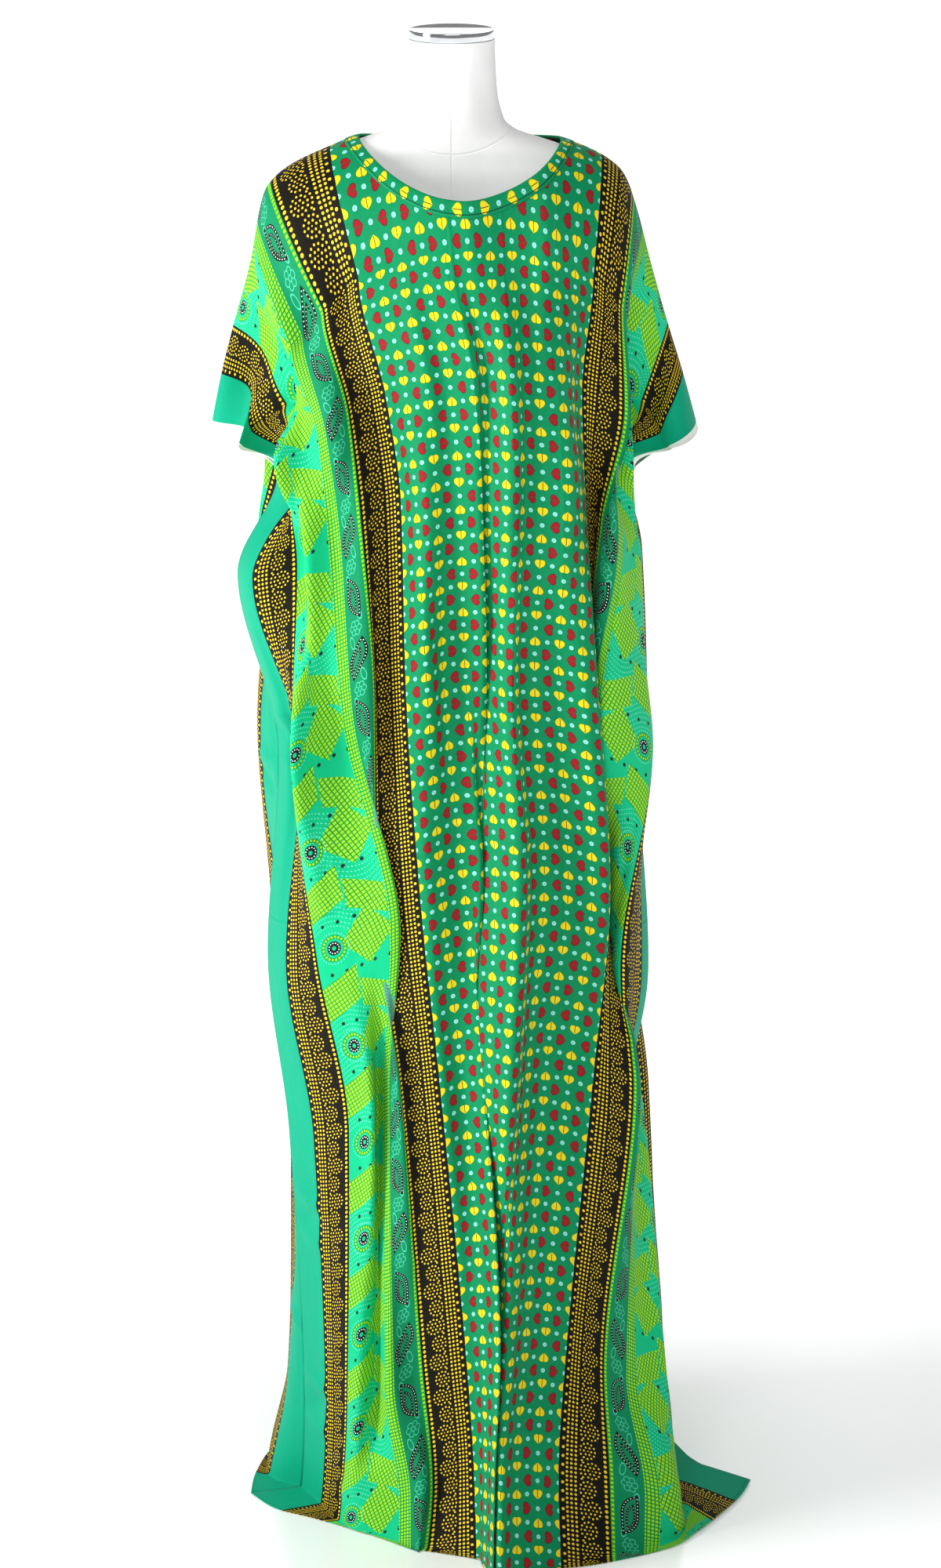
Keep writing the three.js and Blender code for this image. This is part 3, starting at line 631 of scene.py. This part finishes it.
# Fold lines of the hanging cloth, a row for each one, a pair for each section: right, front.
SECTIONS = (140, 280, 400, 600, 850, 1060, 1400, 1540, 1660)
FRONT_FOLDS = {
    "seamL": ((-228, 84), (-190, 8), (-236, -4), (-192, 16), (-208, 0),
        (-186, 8), (-172, -2), (-178, -14), (-236, 2)),
    "edgeL": ((-212, 30), (-180, 28), (-216, 46), (-180, 44), (-190, 52),
        (-150, 64), (-136, 70), (-152, 40), (-206, 50)),
    "insideL": ((-160, 44), (-158, 52), (-158, 62), (-166, 56), (-168, 82),
        (-104, 98), (-120, 98), (-132, 80), (-161, 77)),
    "crestL": ((-174, 92), (-190, 96), (-158, 108), (-174, 122), (-143, 108),
        (-88, 112), (-106, 114), (-108, 112), (-112, 112)),
    "hollowL": ((-152, 88), (-156, 96), (-128, 102), (-132, 98), (-94, 128),
        (-84, 72), (-86, 90), (-62, 132), (-84, 130)),
    "leafL": ((-132, 104), (-126, 124), (-100, 132), (-90, 130), (-56, 138),
        (-60, 128), (-72, 136), (-34, 150), (-38, 172)),
    "deepL": ((-112, 100), (-98, 112), (-78, 116), (-78, 110), (-86, 102),
        (-54, 112), (-42, 122), (-20, 132), (-42, 152)),
    "heartsL": ((-98, 112), (-70, 130), (-54, 128), (-50, 130), (-35, 130),
        (-15, 134), (15, 140), (24, 154), (27, 176)),
    "swellL": ((-66, 118), (-28, 149), (-28, 154), (-26, 142), (-24, 134),
        (-2, 130), (25, 142), (31, 160), (32, 184)),
    "dipL": ((-38, 124), (-8, 147), (-2, 148), (-4, 122), (6, 121),
        (12, 129), (38, 153), (39, 176), (38, 200)),
    "pleatL": ((-8, 129), (28, 158), (34, 160), (37, 136), (34, 130),
        (36, 138), (54, 166), (48, 198), (46, 220)),
    "tuckL": ((6, 129), (30, 150), (31, 150), (31, 122), (22, 116),
        (14, 120), (36, 118), (34, 140), (35, 166)),
    "ridge": ((24, 130), (65, 168), (66, 174), (66, 156), (73, 154),
        (65, 160), (58, 162), (51, 195), (50, 222)),
    "trough": ((60, 122), (76, 156), (78, 158), (74, 142), (88, 130),
        (80, 136), (76, 147), (68, 184), (67, 214)),
    "lowR": ((82, 120), (98, 158), (96, 162), (106, 137), (112, 122),
        (100, 120), (94, 136), (86, 176), (86, 210)),
    "swellR": ((106, 120), (122, 148), (130, 158), (142, 142), (148, 126),
        (130, 116), (112, 130), (104, 170), (104, 204)),
    "heartsR": ((150, 100), (138, 120), (143, 122), (157, 126), (173, 120),
        (157, 118), (128, 126), (119, 164), (122, 200)),
    "deepR": ((176, 88), (176, 100), (150, 98), (146, 74), (156, 26),
        (182, 106), (172, 110), (166, 156), (168, 198)),
    "crestR": ((187, 78), (190, 92), (172, 120), (164, 126), (184, 104),
        (209, 94), (230, 80), (250, 138), (247, 158)),
    "tuckR": ((164, 66), (142, 66), (190, 84), (216, 82), (206, 72),
        (196, 52), (246, 62), (262, 100), (280, 118)),
    "insideR": ((178, 56), (196, 58), (204, 48), (214, 40), (218, 42),
        (216, 18), (242, 28), (262, 56), (306, 75)),
    "edgeR": ((214, 44), (152, 30), (152, 24), (196, 20), (217, 26),
        (190, -20), (250, -4), (264, 0), (333, 20)),
    "seamR": ((236, 82), (198, 0), (192, -10), (208, -22), (212, 14),
        (206, -64), (246, -40), (264, -88), (348, -28)),
}
BACK_FOLDS = {
    "seamL": ((-224, -66), (-190, 8), (-236, -4), (-192, 16), (-208, 0),
        (-186, 8), (-172, -2), (-178, -14), (-236, 2)),
    "edgeL": ((-208, -26), (-160, -26), (-186, -22), (-206, -12), (-188, -28),
        (-176, -34), (-192, -36), (-216, -40), (-232, -60)),
    "crestL": ((-170, -40), (-204, -60), (-216, -66), (-216, -54), (-206, -80),
        (-188, -96), (-188, -112), (-212, -118), (-212, -136)),
    "deepL": ((-176, -68), (-148, -72), (-150, -84), (-152, -80), (-152, -92),
        (-150, -104), (-150, -122), (-156, -136), (-166, -146)),
    "rollL": ((-140, -80), (-150, -112), (-160, -132), (-164, -140), (-164, -156),
        (-160, -174), (-158, -198), (-162, -214), (-166, -222)),
    "heartsL": ((-112, -88), (-108, -104), (-112, -112), (-114, -124), (-114, -136),
        (-114, -150), (-112, -172), (-112, -184), (-112, -190)),
    "ridgeL": ((-56, -96), (-64, -120), (-66, -140), (-68, -160), (-68, -176),
        (-68, -194), (-66, -214), (-66, -226), (-66, -232)),
    "trough": ((10, -92), (4, -96), (0, -104), (-4, -132), (-6, -136),
        (-8, -138), (-8, -140), (-8, -142), (-8, -146)),
    "ridgeR": ((70, -96), (70, -120), (66, -140), (62, -162), (62, -178),
        (62, -196), (62, -218), (62, -228), (62, -236)),
    "heartsR": ((132, -86), (122, -102), (116, -112), (114, -124), (114, -138),
        (114, -152), (116, -176), (118, -188), (118, -196)),
    "rollR": ((150, -78), (160, -108), (164, -130), (166, -142), (168, -146),
        (172, -174), (176, -200), (178, -216), (184, -226)),
    "deepR": ((180, -66), (152, -68), (154, -78), (158, -82), (168, -92),
        (164, -110), (174, -128), (182, -142), (204, -148)),
    "crestR": ((174, -40), (206, -56), (210, -66), (218, -78), (214, -80),
        (226, -118), (244, -142), (250, -150), (252, -64)),
    "edgeR": ((212, -26), (168, -24), (186, -24), (194, -36), (200, -30),
        (202, -90), (236, -92), (262, -118), (302, -22)),
    "seamR": ((236, -62), (198, 0), (192, -10), (208, -22), (212, 14),
        (206, -64), (246, -40), (264, -88), (348, -28)),
}

# Creases pressed or crumpled into the cloth, a row for each one: middle across, middle down, lean from
# level in degrees, half length, half width, rise (below 0 for a trough). All but the lean are millimetres.
FRONT_CREASES = (
    (17, 802, 1, 150, 9, 1.6),
    (20, 822, 2, 130, 8, -1.3),
    (-94, 770, 58, 40, 8, 2.0),
    (-70, 778, 64, 34, 7, -1.6),
    (-285, 836, 26, 74, 9, 2.6),
    (-300, 862, 30, 60, 9, -1.8),
    (-428, 552, -16, 46, 8, 4.2),
    (-430, 578, 12, 40, 8, -3.4),
    (-428, 604, -12, 42, 8, 3.6),
    (-426, 1138, 18, 46, 8, 4.0),
    (-430, 1164, -10, 42, 8, -3.2),
    (-424, 1188, 14, 40, 8, 3.2),
    (-428, 1372, 14, 46, 8, 4.2),
    (-430, 1398, -16, 42, 8, -3.4),
    (-424, 1428, 10, 44, 9, 3.8),
    (-36, 480, 90, 250, 7, -2.2),
    (20, 540, 90, 280, 7, 2.0),
    (34, 620, 89, 240, 7, -1.6),
    (92, 330, 86, 140, 8, 1.9),
    (-372, 130, 62, 90, 10, 3.0),
    (-330, 215, 48, 80, 10, -2.4),
    (-410, 330, 72, 70, 9, 3.2),
    (380, 150, -60, 100, 10, 3.2),
    (330, 235, -44, 84, 10, -2.6),
    (300, 330, -52, 90, 11, 2.6),
    (412, 336, -70, 70, 9, 3.0),
    (120, 1180, 8, 70, 9, 1.8),
    (240, 990, -22, 76, 10, 2.2),
    (-210, 1270, 20, 80, 10, 2.0),
    (60, 1330, -12, 60, 9, 1.6),
    (-330, 1500, -8, 80, 10, 2.4),
    (300, 1560, 12, 90, 10, 2.6),
)
BACK_CREASES = (
    (-10, 800, -1, 150, 9, 1.6),
    (-16, 822, -2, 120, 8, -1.3),
    (86, 768, -56, 42, 8, 2.0),
    (280, 850, -24, 76, 9, 2.4),
    (-426, 620, 14, 44, 8, 3.8),
    (-430, 648, -14, 40, 8, -3.0),
    (428, 720, -16, 46, 8, 4.0),
    (430, 748, 12, 40, 8, -3.2),
    (424, 1250, 16, 44, 8, 3.6),
    (-428, 1300, -14, 46, 8, 3.8),
    (30, 520, 90, 260, 7, -2.0),
    (-44, 560, 90, 240, 7, 1.8),
    (-380, 140, 60, 92, 10, 3.0),
    (376, 150, -62, 96, 10, 3.0),
    (-320, 320, 50, 84, 11, 2.4),
    (324, 330, -50, 88, 11, 2.6),
    (-120, 1140, -10, 74, 9, 1.8),
    (180, 1080, 20, 80, 10, 2.2),
    (-240, 1480, 10, 86, 10, 2.4),
    (260, 1540, -12, 90, 10, 2.4),
)


def side_drop(across):
    return np.sin(0.5 * np.pi * np.minimum(1, np.abs(across) / HALF_WIDTH) ** SIDE_DROP_POWER) ** 2


def height_at(side, across, down):
    middle = NECK_LOW_HEIGHT - HANG * (down - NECK_FRONT)
    sag = (np.clip(down, 0, ARMHOLE) / ARMHOLE) ** CUFF_SAG_POWER[side]
    cuff = SLEEVE_TIP_HEIGHT + (UNDERARM_HEIGHT - SLEEVE_TIP_HEIGHT) * sag
    edge = np.where(down < ARMHOLE, cuff, UNDERARM_HEIGHT - HANG * (down - ARMHOLE))
    hanging = middle + (edge - middle) * side_drop(across)
    over = np.zeros_like(across)
    if side == "front":
        over = np.clip((across - OVERLAP_START) / OVERLAP_REACH, 0, 1)
    above = hanging - (FLOOR_LIFT + OVERLAP_LIFT * over) * over
    return FLOOR_LIFT + OVERLAP_LIFT * over + 0.5 * (above + np.hypot(above, FLOOR_SOFTNESS))


def creased(creases, across, down):
    """How far the creases lift the cloth off its hanging shape, or sink it."""
    rise = np.zeros_like(down)
    for middle_across, middle_down, lean, half_length, half_width, height in creases:
        turn = math.radians(lean)
        along = (across - middle_across) * math.cos(turn) + (down - middle_down) * math.sin(turn)
        aside = (down - middle_down) * math.cos(turn) - (across - middle_across) * math.sin(turn)
        fade = np.maximum(0, 1 - (along / half_length) ** 2) ** 2
        rise += height * fade * np.exp(-(aside / half_width) ** 2)
    return rise


def plan_curve(points, first, last):
    """Closely spaced places along the smooth curve through all fold lines, from one of them to another."""
    padded = np.vstack([points[:1], points, points[-1:]])
    part = (np.arange(CURVE_STEPS) / CURVE_STEPS)[:, None]
    places = []
    for index in range(first, last):
        before, start, end, after = padded[index:index + 4]
        square = (2 * before - 5 * start + 4 * end - after) * part ** 2
        cube = (3 * start - before - 3 * end + after) * part ** 3
        places.append(0.5 * (2 * start + (end - before) * part + square + cube))
    return np.vstack(places + [points[last:last + 1]])


def curve_lengths(places):
    return np.concatenate([[0], np.cumsum(np.hypot(*np.diff(places, axis=0).T))])


def plan_need(side, start, end, down):
    """How long the curve must be in plan, so that with its rise and fall it takes up the cloth it has."""
    stops = np.linspace(start, end, 25)
    steps = np.diff(stops)
    falls = np.diff(height_at(side, stops, np.full_like(stops, down)))
    return np.sqrt(np.maximum(0.2 * steps ** 2, steps ** 2 - falls ** 2)).sum()


def deepened(points, first, last, depth):
    moved = points.copy()
    part = (np.arange(first, last + 1) - first) / (last - first)
    straight = points[first, 1] + (points[last, 1] - points[first, 1]) * part
    moved[first:last + 1, 1] = straight + (points[first:last + 1, 1] - straight) * depth
    return moved


def section_curve(side, folds, index):
    """One level's folds, made deeper or shallower in three zones until each takes up the cloth it has."""
    names = list(folds)
    stops = (0, names.index("heartsL"), names.index("heartsR"), len(names) - 1)
    cuts = (-HALF_WIDTH, -HEARTS_HALF, HEARTS_HALF, HALF_WIDTH)
    points = np.array([(folds[name][index][0], -folds[name][index][1]) for name in names], float)
    for zone in range(3):
        need = plan_need(side, cuts[zone], cuts[zone + 1], SECTIONS[index])
        least, most = 0.7, 1.45
        for attempt in range(14):
            depth = 0.5 * (least + most)
            tried = deepened(points, stops[zone], stops[zone + 1], depth)
            places = plan_curve(tried, stops[zone], stops[zone + 1])
            if curve_lengths(places)[-1] < need:
                least = depth
            else:
                most = depth
        points = deepened(points, stops[zone], stops[zone + 1], 0.5 * (least + most))
    curves = []
    for zone in range(3):
        places = plan_curve(points, stops[zone], stops[zone + 1])
        curves.append((places, curve_lengths(places), cuts[zone], cuts[zone + 1]))
    return curves


def along_section(curves, across):
    """The plan place of each column on one section."""
    found = np.zeros((len(across), 2))
    for zone, (places, lengths, start, end) in enumerate(curves):
        mine = (across < -HEARTS_HALF, np.abs(across) <= HEARTS_HALF, across > HEARTS_HALF)[zone]
        wanted = (across[mine] - start) / (end - start) * lengths[-1]
        for axis in (0, 1):
            found[mine, axis] = np.interp(wanted, lengths, places[:, axis])
    return found


def cloth_place(side, folds, across, down):
    """Where the cloth hangs, in millimetres. Across has a value per column, down a row per level."""
    levels = range(len(SECTIONS))
    sections = np.array([along_section(section_curve(side, folds, index), across) for index in levels])
    stiff = np.clip((np.abs(across) - HALF_WIDTH + EDGE_REACH) / EDGE_REACH, 0, 1)
    wide = np.broadcast_to(across, down.shape)
    fold = np.array(SHOULDER_FOLD, float)
    fold_x, fold_z = (smooth_at(fold[:, 0], fold[:, column], across) for column in (1, 2))
    right = smooth_at(SECTIONS, sections[:, :, 0], down, stiff)
    back = smooth_at(SECTIONS, sections[:, :, 1], down, stiff)
    height = height_at(side, wide, down)
    turn = 0.5 * np.pi * np.clip(down / CHEST_DOWN, 0, 1)
    fallen = 1 - np.cos(turn)
    tuck = np.clip((-wide - 260) / (HALF_WIDTH - 260), 0, 1) * np.sin(2 * turn) ** 2 if side == "front" else 0
    chest = height_at(side, across, np.full_like(across, CHEST_DOWN))
    above = down < CHEST_DOWN
    right = np.where(above, fold_x + (sections[0, :, 0] - fold_x) * fallen + 30 * tuck, right)
    back = np.where(above, sections[0, :, 1] * np.sin(turn) + 26 * tuck, back)
    height = np.where(above, fold_z + (chest - fold_z) * fallen, height)
    apart = 0.03 + (0.5 * CLOTH + 0.03) * stiff
    back = back + (-apart if side == "front" else apart)
    return np.stack([right, back, height], axis=-1)


def surface_normals(places, side):
    across = np.gradient(places, axis=1)
    down = np.gradient(places, axis=0)
    normals = np.cross(down, across)
    normals /= np.maximum(1e-9, np.linalg.norm(normals, axis=-1, keepdims=True))
    return normals if side == "front" else -normals


def cloth_columns():
    turn = np.pi * np.arange(COLUMNS_NECK) / COLUMNS_NECK
    left, right = NECK_MIDDLE - NECK_HALF, NECK_MIDDLE + NECK_HALF
    return np.concatenate([np.linspace(-HALF_WIDTH, left, COLUMNS_SIDE, endpoint=False),
                           NECK_MIDDLE - NECK_HALF * np.cos(turn),
                           np.linspace(right, HALF_WIDTH, COLUMNS_SIDE + 1)])


def neck_depth(side, across):
    part = np.minimum(1, np.abs(across - NECK_MIDDLE) / NECK_HALF)
    return (NECK_FRONT if side == "front" else NECK_BACK) * np.sqrt(1 - part ** 2)


def sheet_mesh(name, places, across, down):
    """A cloth from rows of places in millimetres, with its flat place kept for the print."""
    rows, columns = places.shape[:2]
    number = np.arange(rows * columns).reshape(rows, columns)
    corners = np.stack([number[:-1, :-1], number[1:, :-1], number[1:, 1:], number[:-1, 1:]], axis=-1)
    corners = corners.reshape(-1, 4)
    mesh = bpy.data.meshes.new(name)
    mesh.from_pydata((places.reshape(-1, 3) / 1000).tolist(), [], corners.tolist())
    flat = np.stack([across.reshape(-1) / 1000 + 0.5, 1 - down.reshape(-1) / 1700], axis=-1)
    layer = mesh.uv_layers.new(name="flat_cloth")
    layer.data.foreach_set("uv", flat[corners.reshape(-1)].astype(np.float32).reshape(-1))
    piece = bpy.data.objects.new(name, mesh)
    bpy.context.scene.collection.objects.link(piece)
    return piece


def give_thickness(piece, thickness, finishes):
    for finish in finishes:
        piece.data.materials.append(finish)
    deselect_all()
    bpy.context.view_layer.objects.active = piece
    piece.select_set(True)
    wall = piece.modifiers.new("wall", "SOLIDIFY")
    wall.thickness = thickness / 1000
    wall.offset = 0
    wall.material_offset = len(finishes) - 1
    bpy.ops.object.modifier_apply(modifier="wall")
    bpy.ops.object.shade_smooth()


dress_sheets = {}
for side, folds, creases in (("front", FRONT_FOLDS, FRONT_CREASES), ("back", BACK_FOLDS, BACK_CREASES)):
    across = cloth_columns()
    levels = np.linspace(0, LENGTH, ROWS + 1)
    fade = np.maximum(0, 1 - levels / NECK_FADE) ** 2
    down = levels[:, None] + neck_depth(side, across)[None, :] * fade[:, None]
    places = cloth_place(side, folds, across, down)
    wide = np.broadcast_to(across, down.shape)
    places = places + surface_normals(places, side) * creased(creases, wide, down)[:, :, None]
    if side == "back":
        places, down, wide = places[:, ::-1], down[:, ::-1], wide[:, ::-1]
    piece = sheet_mesh("cotton_" + side, places, wide, down)
    give_thickness(piece, CLOTH, (cotton_face, cotton_reverse))
    neck_area = 0.25 * math.pi * 2 * NECK_HALF * (NECK_FRONT if side == "front" else NECK_BACK)
    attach(piece, "root")
    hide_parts("dress_" + side)
    (2 * HALF_WIDTH * LENGTH - neck_area) / 1e6
    dress_sheets[side] = piece


# The neck is bound with a narrow strip of the same cotton, folded over the cut edge and stitched down
# with one row of dark thread near its outer edge.
BINDING_STEPS = 220
BINDING_START = 400
BINDING_CLOTH = 0.5
# The strip's turn over the edge: out from the edge of the hole, above the middle of the cloth.
BINDING_TURN = ((13, 0.75), (9, 1.05), (4, 1.15), (0, 1.1), (-1.3, 0.55), (-1.6, -0.1),
                (-1.2, -0.75), (3, -1.0), (8, -0.8))


def neck_ring(outs, lifts):
    """Rings round the neck hole, so far out from its edge and so far above the cloth, in millimetres."""
    turns = 2 * np.pi * (np.arange(BINDING_STEPS) + 0.5) / BINDING_STEPS
    found = np.zeros((len(outs), BINDING_STEPS, 3))
    for side, folds in (("front", FRONT_FOLDS), ("back", BACK_FOLDS)):
        mine = np.sin(turns) > 0 if side == "front" else np.sin(turns) < 0
        depth = NECK_FRONT if side == "front" else NECK_BACK
        for index, (out, lift) in enumerate(zip(outs, lifts)):
            across = NECK_MIDDLE + (NECK_HALF + out) * np.cos(turns[mine])
            down = (depth + out) * np.abs(np.sin(turns[mine]))
            near = 3.0
            place, left, right, upper, lower = (
                cloth_place(side, folds, across + shift, np.maximum(0, down + fall)[None, :])[0]
                for shift, fall in ((0, 0), (-near, 0), (near, 0), (0, -near), (0, near)))
            normal = np.cross(right - left, upper - lower)
            normal /= np.linalg.norm(normal, axis=-1, keepdims=True)
            found[index, mine] = place + lift * (normal if side == "front" else -normal)
    return found


outs = [row[0] for row in BINDING_TURN]
lifts = [row[1] for row in BINDING_TURN]
ring_places = neck_ring(outs, lifts)
around = np.concatenate([ring_places, ring_places[:, :1]], axis=1)
ring_steps = np.linalg.norm(np.diff(around[3], axis=0), axis=1)
strip_along = BINDING_START + np.concatenate([[0], np.cumsum(ring_steps)])
strip_across = BINDING_PLACE + np.cumsum([0] + [abs(a - b) for a, b in zip(outs[:-1], outs[1:])])
binding = sheet_mesh("neck_binding_strip", around, np.broadcast_to(strip_across[:, None], around.shape[:2]),
                     np.broadcast_to(strip_along, around.shape[:2]))
give_thickness(binding, BINDING_CLOTH, (cotton_binding,))
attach(binding, "root")
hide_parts("neck_binding")


# The floor is glossy and white and fades into the light behind, and a small white board behind it shows in
# the chrome. Neither is part of the object. Lengths are in metres here.
FLOOR_SIZE = 40
FLOOR_GLOW_START = 0.05
FLOOR_GLOW_RISE = 0.6
BOARD_SIZE = 2.4
BOARD_PLACE = (0, 6.5, 3.4)
WORLD_LIGHT = 0.26
CAMERA_PLACE = (0.02, -5.0, 2.358)
CAMERA_DOWN = 16.65
CAMERA_LENS = 107.6
SENSOR_HEIGHT = 36
deselect_all()
bpy.ops.mesh.primitive_plane_add(size=FLOOR_SIZE, location=(0, 0, 0))
floor = bpy.context.object
floor.name = "studio_floor"
floor_white, floor_tree, floor_shader = new_finish("floor_white", ink(250, 252, 252), 0.22)
floor_place = floor_tree.nodes.new("ShaderNodeTexCoord")
floor_reach = floor_tree.nodes.new("ShaderNodeVectorMath")
floor_reach.operation = "LENGTH"
floor_tree.links.new(floor_place.outputs["Object"], floor_reach.inputs[0])
floor_away = reckon(floor_tree, "SUBTRACT", floor_reach.outputs["Value"], FLOOR_GLOW_START)
floor_glow = reckon(floor_tree, "MULTIPLY", floor_away, FLOOR_GLOW_RISE, clamp=True)
floor_shader.inputs["Emission Color"].default_value = (1, 1, 1, 1)
floor_tree.links.new(floor_glow, floor_shader.inputs["Emission Strength"])
floor.data.materials.append(floor_white)

deselect_all()
bpy.ops.mesh.primitive_plane_add(size=BOARD_SIZE, location=BOARD_PLACE, rotation=(math.pi / 2, 0, 0))
backdrop = bpy.context.object
backdrop.name = "studio_backdrop"
backdrop_white, _, backdrop_shader = new_finish("backdrop_white", ink(250, 252, 252), 0.9)
backdrop_shader.inputs["Emission Color"].default_value = (1, 1, 1, 1)
backdrop_shader.inputs["Emission Strength"].default_value = 1
backdrop.data.materials.append(backdrop_white)

world = bpy.data.worlds.new("studio")
world.use_nodes = True
world.node_tree.nodes["Background"].inputs["Color"].default_value = (1, 1, 1, 1)
world.node_tree.nodes["Background"].inputs["Strength"].default_value = WORLD_LIGHT
bpy.context.scene.world = world


def soft_box(name, place, aim, size, power):
    light = bpy.data.lights.new(name, "AREA")
    light.shape = "RECTANGLE"
    light.size, light.size_y = size
    light.energy = power
    lamp = bpy.data.objects.new(name, light)
    lamp.location = place
    lamp.rotation_euler = (Vector(aim) - Vector(place)).to_track_quat("-Z", "Y").to_euler()
    bpy.context.scene.collection.objects.link(lamp)


soft_box("left_soft_box", (-3.3, -1.15, 1.9), (0, 0, 0.95), (1.2, 2.2), 130)
soft_box("top_soft_box", (0.1, -2.2, 3.6), (0, 0, 1.3), (1.8, 1.2), 48)

camera = bpy.data.cameras.new("studio_camera")
camera.sensor_fit = "VERTICAL"
camera.sensor_height = SENSOR_HEIGHT
camera.lens = CAMERA_LENS
viewer = bpy.data.objects.new("studio_camera", camera)
viewer.location = CAMERA_PLACE
viewer.rotation_euler = (math.radians(90 - CAMERA_DOWN), 0, 0)
bpy.context.scene.collection.objects.link(viewer)
bpy.context.scene.camera = viewer
bpy.context.scene.view_settings.view_transform = "Standard"
